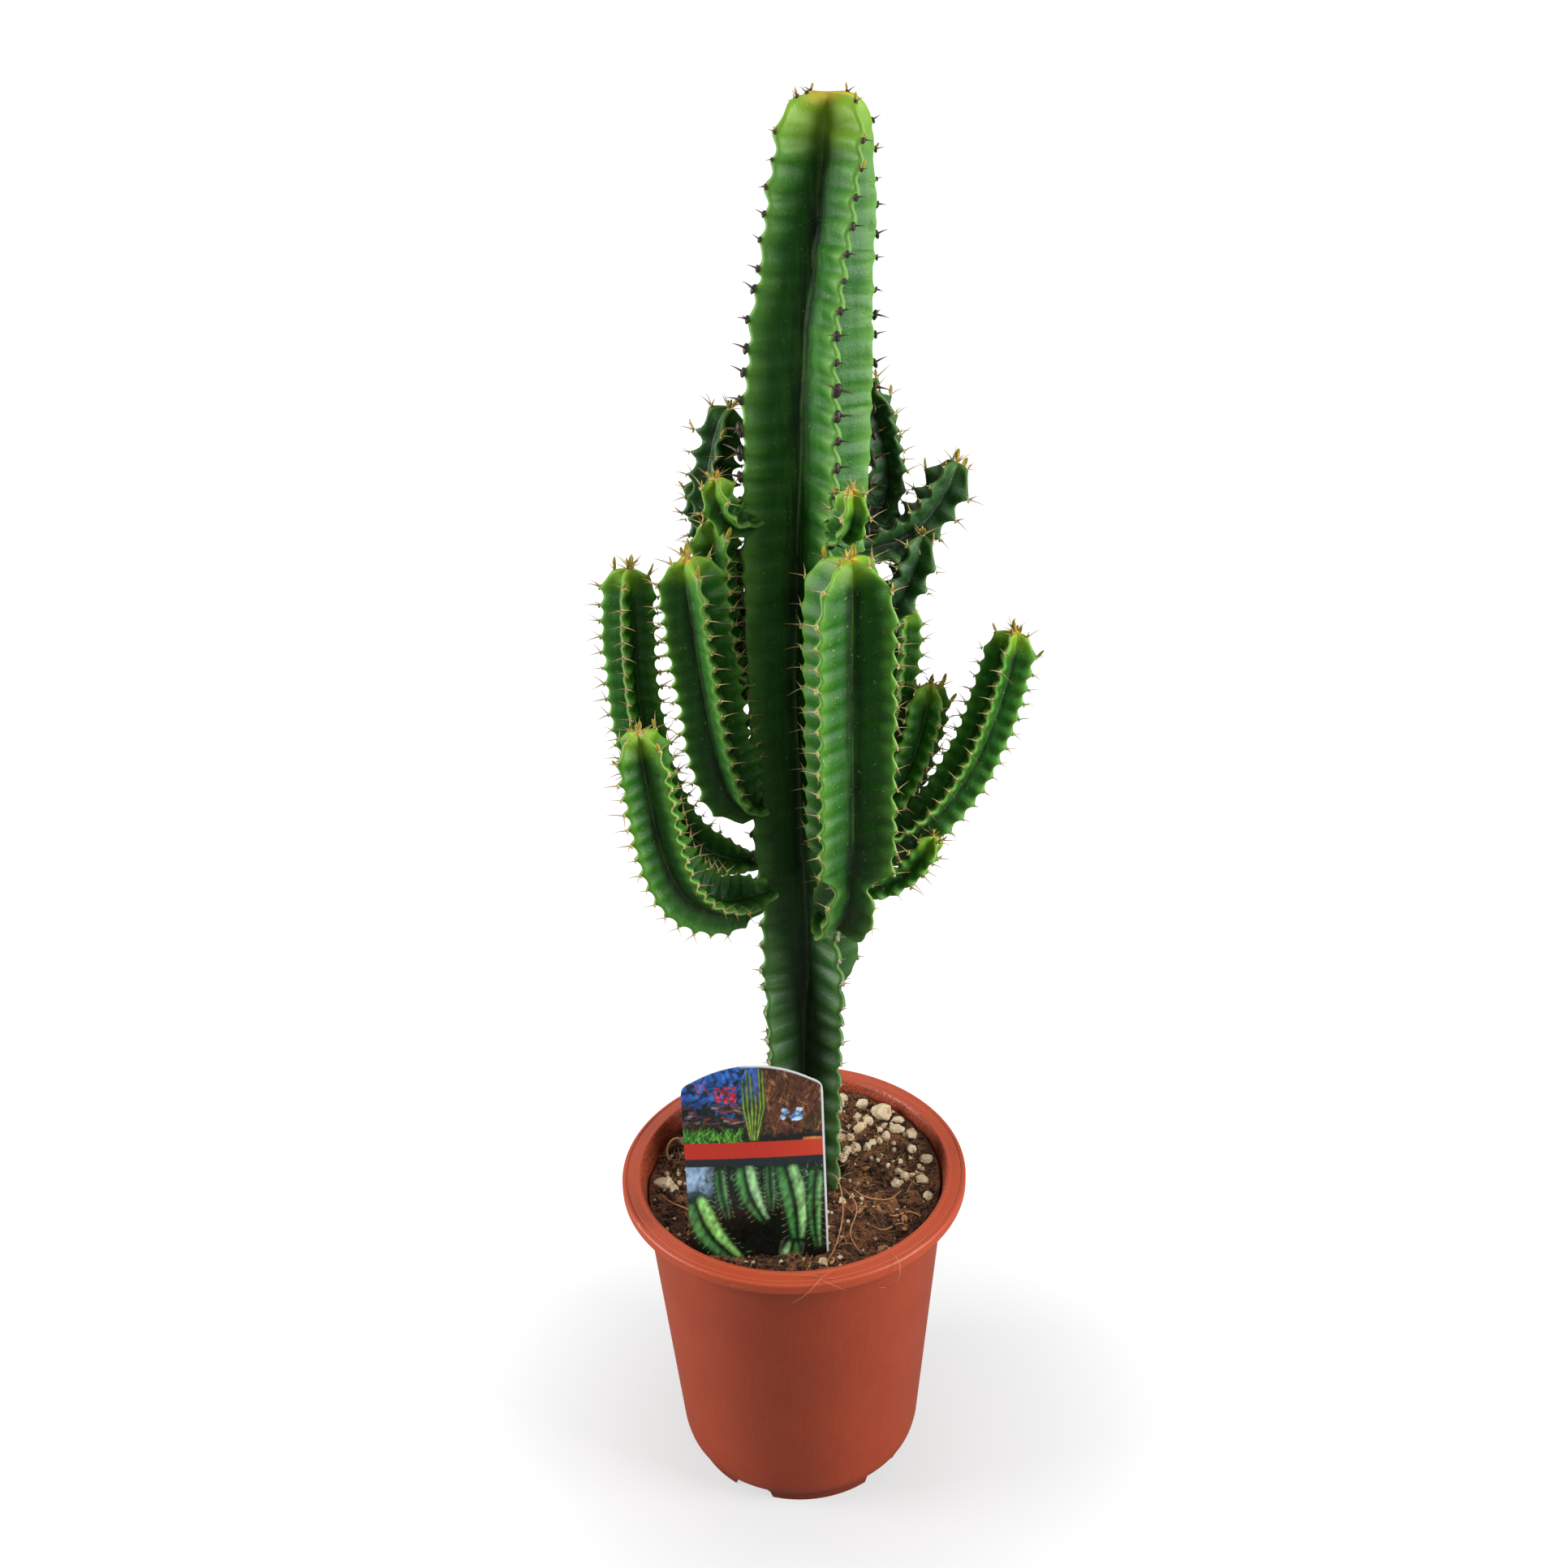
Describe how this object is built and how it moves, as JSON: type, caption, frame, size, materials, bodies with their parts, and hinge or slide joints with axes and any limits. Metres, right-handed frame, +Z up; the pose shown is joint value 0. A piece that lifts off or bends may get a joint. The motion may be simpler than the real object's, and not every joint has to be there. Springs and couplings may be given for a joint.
{
  "type": "potted euphorbia",
  "caption": "Tall four-ribbed columnar euphorbia with upturned side arms and spiny ribs, in a round tapered nursery pot with soil, pumice stones and a picture label without lettering.",
  "frame": {"origin": "bottom centre of the whole plant's box, on the surface that the pot stands on", "axes": "+Z up along the main stem, the label at the front faces -Y, +X to the right as seen from the front"},
  "size_m": [0.1992, 0.17, 0.662],
  "materials": {
    "pot_plastic": "satin",
    "potting_mix": "matte",
    "pumice": "matte",
    "label_print": "satin",
    "stem_skin": "satin",
    "arm_skin": "satin"
  },
  "bodies": {
    "root": {"pot": "pot_plastic", "soil": "potting_mix", "plant_label": "label_print", "main_stem": "stem_skin", "arm_left_outer": "arm_skin", "arm_left_tall": "arm_skin", "arm_left_low": "arm_skin", "arm_left_short": "arm_skin", "arm_back_left_tall": "arm_skin", "arm_back_left_short": "arm_skin", "arm_left_bud": "arm_skin", "arm_front_right": "arm_skin", "arm_front_bud": "arm_skin", "arm_right_inner": "arm_skin", "arm_right_middle": "arm_skin", "arm_right_outer": "arm_skin", "arm_right_low": "arm_skin", "arm_back_right_top": "arm_skin", "arm_back_right_long": "arm_skin", "arm_back_right_short": "arm_skin", "pumice_stone_1": "pumice", "pumice_stone_2": "pumice", "pumice_stone_3": "pumice", "pumice_stone_4": "pumice", "pumice_stone_5": "pumice", "pumice_stone_6": "pumice", "pumice_stone_7": "pumice", "pumice_stone_8": "pumice", "pumice_stone_9": "pumice", "pumice_stone_10": "pumice", "pumice_stone_11": "pumice", "pumice_stone_12": "pumice", "pumice_stone_13": "pumice", "pumice_stone_14": "pumice", "pumice_stone_15": "pumice", "pumice_stone_16": "pumice", "pumice_stone_17": "pumice", "pumice_stone_18": "pumice"}
  },
  "joints": []
}
